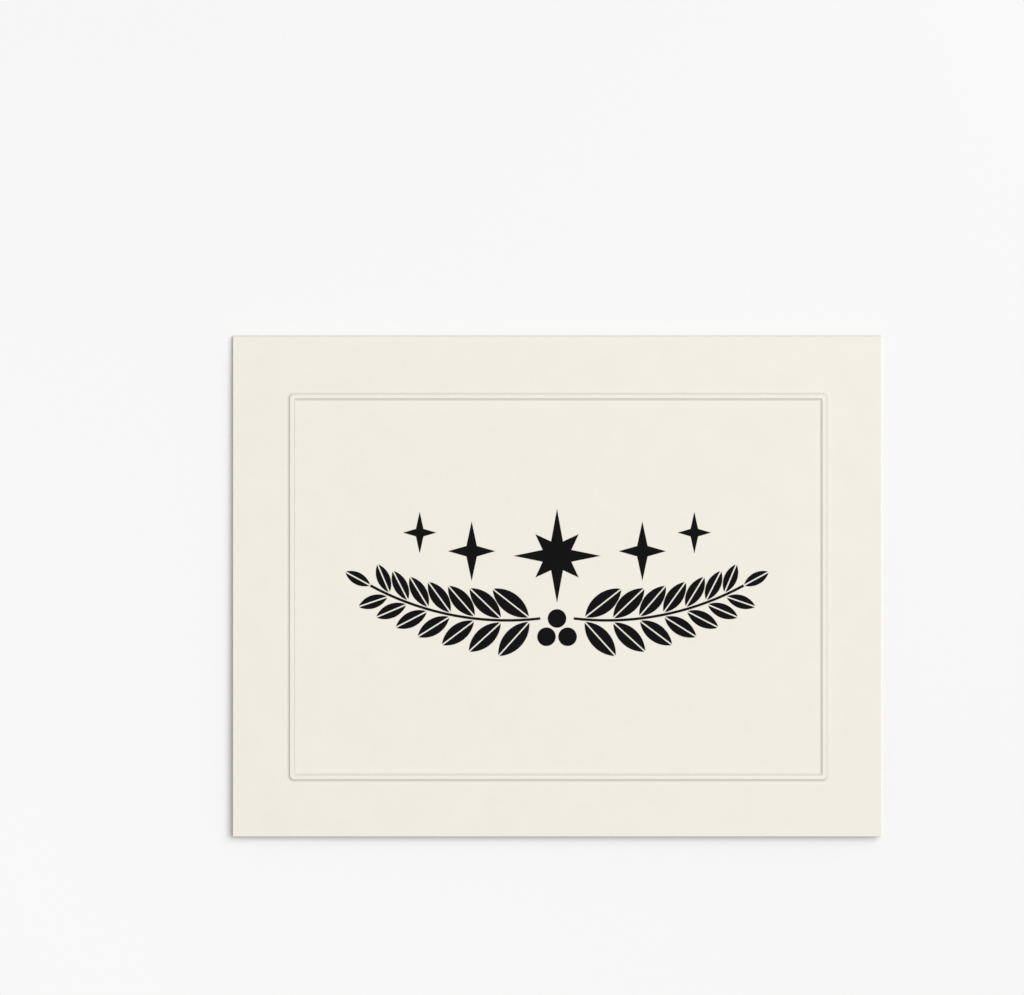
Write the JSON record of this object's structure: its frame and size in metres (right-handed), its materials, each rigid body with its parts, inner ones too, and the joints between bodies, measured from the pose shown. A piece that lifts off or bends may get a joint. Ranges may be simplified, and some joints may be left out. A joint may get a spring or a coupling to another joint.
{
  "type": "greeting card",
  "caption": "Folded greeting card of heavy cream card stock, with an embossed line round the front and a black ornament of stars and sprigs printed inside it.",
  "frame": {"origin": "on the face that the closed card rests on, under the middle of its outline", "axes": "+X across the card to its right edge, +Y up the front to the fold at its top edge, +Z out of the front"},
  "size_m": [0.1396, 0.108, 0.0027],
  "materials": {
    "card_stock": "uncoated, smooth, matt warm white card stock",
    "black_ink": "matt black printing ink, dried flat on the paper"
  },
  "bodies": {
    "root": {"card_sheet": "card_stock", "printed_ornament": "black_ink"}
  },
  "joints": []
}
